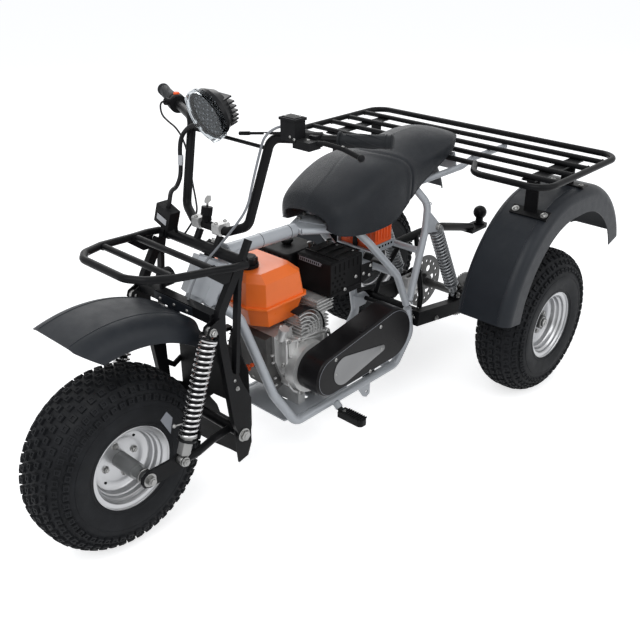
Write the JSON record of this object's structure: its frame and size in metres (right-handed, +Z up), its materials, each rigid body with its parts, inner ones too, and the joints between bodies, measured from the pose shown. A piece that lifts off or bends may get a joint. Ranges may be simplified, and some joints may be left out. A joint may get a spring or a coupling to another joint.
{
  "type": "motor trike",
  "caption": "Off-road motor trike with balloon tyres, an exposed engine in a tube frame, a sprung leading-link fork, racks front and rear and a tow ball.",
  "frame": {"origin": "on the ground at the middle of the machine's length and width", "axes": "+X to the rider's left, +Y to the tail, +Z up"},
  "size_m": [1.026, 2.0991, 1.1377],
  "materials": {
    "frame_grey": "satin silver-grey paint",
    "black_steel": "satin black powder coat",
    "aluminium": "cast aluminium",
    "black_plastic": "black moulded plastic",
    "tank_orange": "gloss orange paint",
    "black_heat": "heat-proof black",
    "cover_black": "gloss black cover",
    "battery_red": "red-orange moulded case",
    "seat_vinyl": "grained black vinyl",
    "spring_grey": "grey painted spring wire",
    "charcoal_fender": "matt charcoal",
    "steel": "machined steel",
    "tyre_rubber": "knobbly tyre rubber",
    "rim_silver": "silver rim paint",
    "damper_black": "black damper body",
    "spring_chrome": "plated spring wire",
    "grip_rubber": "black grip rubber",
    "lens": "clear lens",
    "hose_grey": "grey hose",
    "loom_black": "black sleeved loom"
  },
  "bodies": {
    "chassis": {"frame_neck": "frame_grey", "cradle": "frame_grey", "rear_frame": "frame_grey", "foot_pegs": "black_steel", "crankcase": "aluminium", "engine_shroud": "black_plastic", "cylinder": "aluminium", "fuel_tank": "tank_orange", "fuel_cap": "black_plastic", "muffler": "black_heat", "air_filter": "black_plastic", "recoil_starter": "black_plastic", "belt_cover": "cover_black", "battery": "battery_red", "seat": "seat_vinyl", "swing_arm": "black_steel", "rear_shocks": "spring_grey", "rear_springs": "spring_grey", "rear_rack": "black_steel", "rack_posts": "black_steel", "rear_fender_left": "charcoal_fender", "rear_fender_right": "charcoal_fender", "tow_hitch": "black_steel", "brake_caliper": "aluminium"},
    "rear_axle": {"axle_shaft": "steel", "axle_discs": "steel", "rear_tyre_left": "tyre_rubber", "rear_tyre_right": "tyre_rubber", "rear_rim_left": "rim_silver", "rear_rim_right": "rim_silver"},
    "fork": {"fork_crown": "black_steel", "fork_leg_left": "black_steel", "fork_leg_right": "black_steel", "mud_flap": "black_plastic", "leading_arms": "black_steel", "front_axle": "steel", "front_shocks": "damper_black", "front_springs": "spring_chrome", "front_rack": "black_steel", "front_fender": "charcoal_fender", "handlebar": "black_steel", "grips": "grip_rubber", "bar_clamps": "aluminium", "brake_lever": "black_plastic", "throttle_housing": "black_plastic", "headlight": "damper_black", "headlight_lens": "lens", "front_electrics": "black_plastic", "brake_hose": "hose_grey", "wiring_loom": "loom_black", "throttle_cable": "loom_black"},
    "front_wheel": {"front_tyre": "tyre_rubber", "front_rim": "rim_silver", "front_hub": "aluminium"}
  },
  "joints": [
    {"name": "steering", "type": "hinge", "parent": "chassis", "child": "fork", "pos_m": [0, -0.425, 0.738], "axis": [0, 0.5, 0.866], "range_deg": [-35, 35]},
    {"name": "front_wheel_roll", "type": "hinge", "parent": "fork", "child": "front_wheel", "pos_m": [0, -0.798, 0.252], "axis": [1, 0, 0], "continuous": true},
    {"name": "rear_axle_roll", "type": "hinge", "parent": "chassis", "child": "rear_axle", "pos_m": [0, 0.645, 0.252], "axis": [1, 0, 0], "continuous": true}
  ]
}
